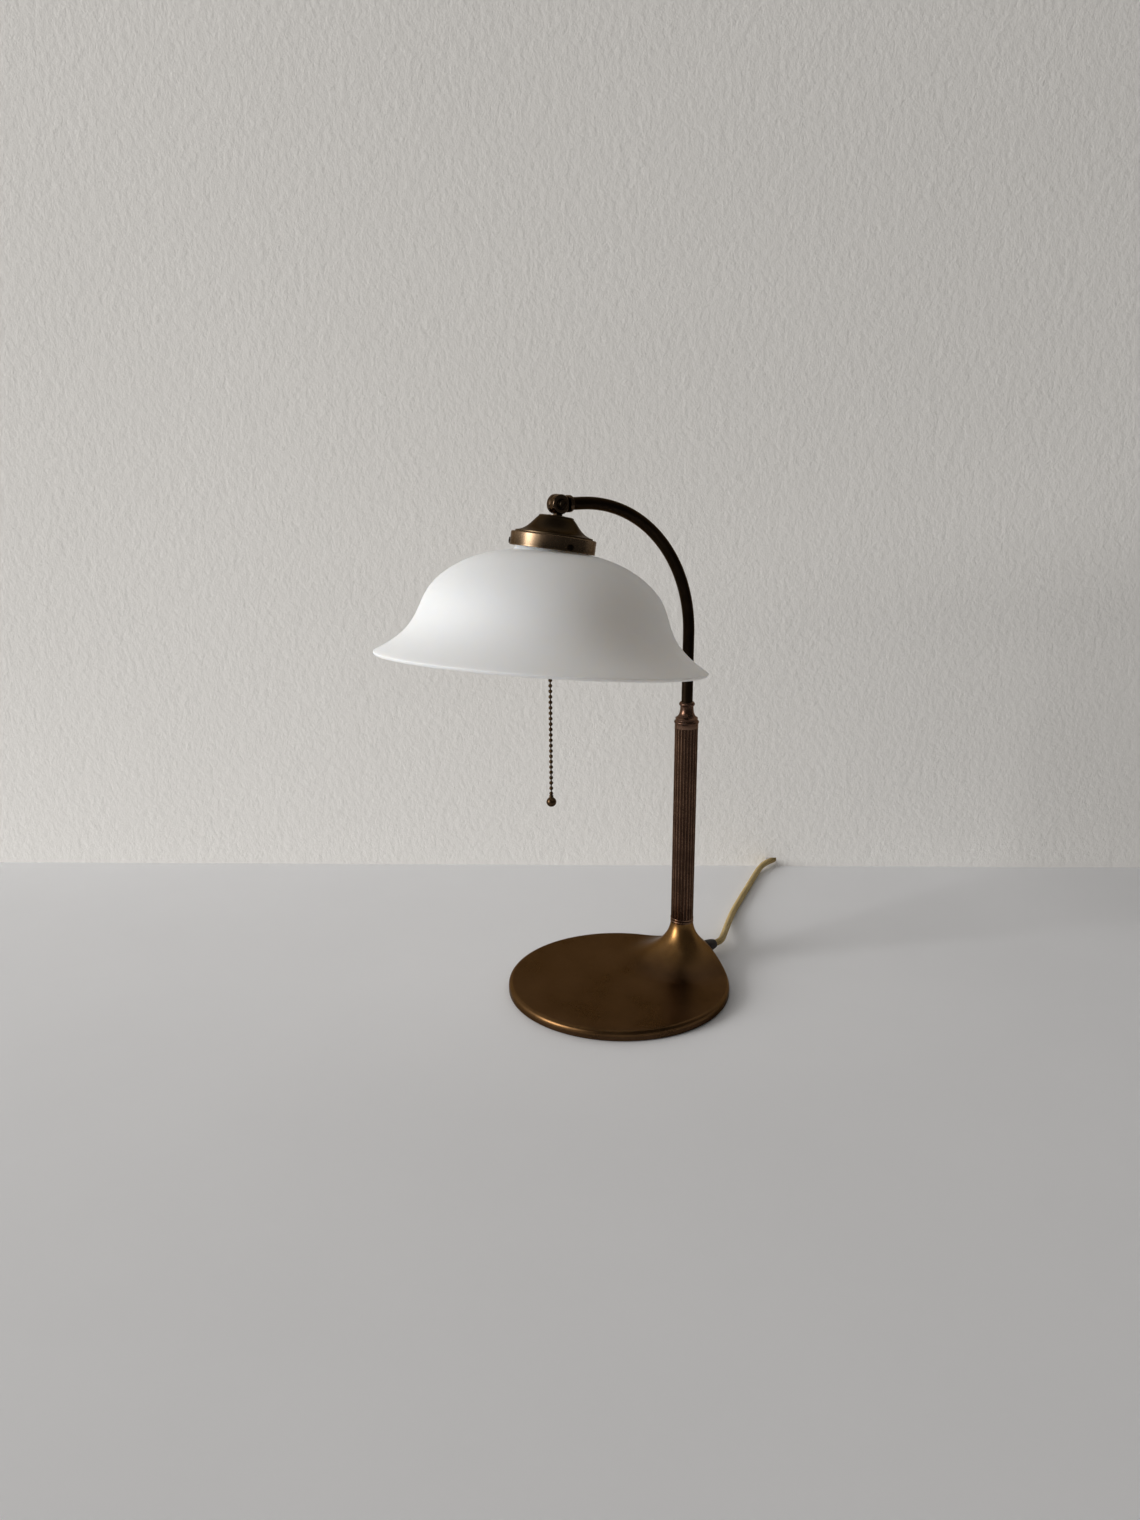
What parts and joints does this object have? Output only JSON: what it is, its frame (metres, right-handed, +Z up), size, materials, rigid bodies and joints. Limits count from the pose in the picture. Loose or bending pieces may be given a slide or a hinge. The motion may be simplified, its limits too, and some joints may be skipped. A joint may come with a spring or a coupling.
{
  "type": "art deco table lamp",
  "caption": "Art deco table lamp with an eccentric round foot, fluted column, curved arm, tilting opal glass shade and a bead pull chain.",
  "frame": {"origin": "middle of the round foot, on the surface that the lamp stands on", "axes": "+Z up along the column, +X from the middle of the foot towards the column, so that the arm and the shade reach towards -X, and +Y across the lamp along the pin of the knuckle"},
  "size_m": [0.6873, 0.4785, 0.4406],
  "materials": {
    "aged_brass": "aged, satin, patchy brown",
    "column_brass": "aged, satin, reddish brown",
    "dark_brass": "dark patina, satin",
    "chain_brass": "worn, bright on the beads",
    "opal_glass": "white opal, satin",
    "bulb_glass": "frosted",
    "porcelain": "glazed",
    "nickel": "nickel plated",
    "steel": "zinc plated",
    "cast_iron": "raw casting",
    "felt": "pressed wool felt",
    "cord_braid": "braided textile over rubber",
    "lead_sleeve": "matte",
    "dark_plastic": "dark moulded",
    "tie_strap": "woven strap"
  },
  "bodies": {
    "stand": {"foot_shell": "aged_brass", "foot_weight": "cast_iron", "foot_felt": "felt", "tie_tube": "steel", "tie_washer": "steel", "tie_nut": "steel", "column_foot_ring": "aged_brass", "fluted_column": "column_brass", "column_collar": "aged_brass", "arm_tube": "dark_brass", "knuckle_arm_half": "dark_brass", "knuckle_washer": "aged_brass", "knuckle_screw": "aged_brass", "knuckle_nut": "aged_brass", "cord_gland": "dark_plastic", "inner_cord": "cord_braid", "cord_run": "cord_braid", "cord_coil": "cord_braid", "cord_tail": "cord_braid", "cord_tie": "tie_strap", "plug_body": "dark_plastic", "plug_pins": "nickel"},
    "shade": {"knuckle_shade_half": "dark_brass", "gallery_bell": "aged_brass", "gallery_ring": "aged_brass", "gallery_nut": "aged_brass", "gallery_screws": "aged_brass", "glass_shade": "opal_glass", "holder_cap": "aged_brass", "holder_shell": "aged_brass", "holder_insert": "porcelain", "thread_sleeve": "nickel", "centre_contact": "aged_brass", "holder_lead": "lead_sleeve", "bulb_cap": "nickel", "bulb_globe": "bulb_glass", "switch_housing": "dark_plastic", "pull_guide": "aged_brass", "switch_spring": "steel"},
    "pull": {"pull_rod": "aged_brass"},
    "chain": {"pull_chain": "chain_brass", "pull_ball": "chain_brass"}
  },
  "joints": [
    {"name": "shade_tilt", "type": "hinge", "parent": "stand", "child": "shade", "pos_m": [-0.0638, 0, 0.4329], "axis": [0, 1, 0], "range_deg": [-5, 45]},
    {"name": "chain_pull", "type": "slide", "parent": "shade", "child": "pull", "axis": [-0.1702, 0, -0.9854], "range_m": [0, 0.006], "stiffness_N_per_m": 400, "springref_m": -0.003, "deforming": ["switch_spring"]},
    {"name": "chain_swing", "type": "hinge", "parent": "pull", "child": "chain", "pos_m": [-0.09008, -0.02493, 0.36194], "axis": [0, 1, 0], "range_deg": [-45, 15]}
  ]
}
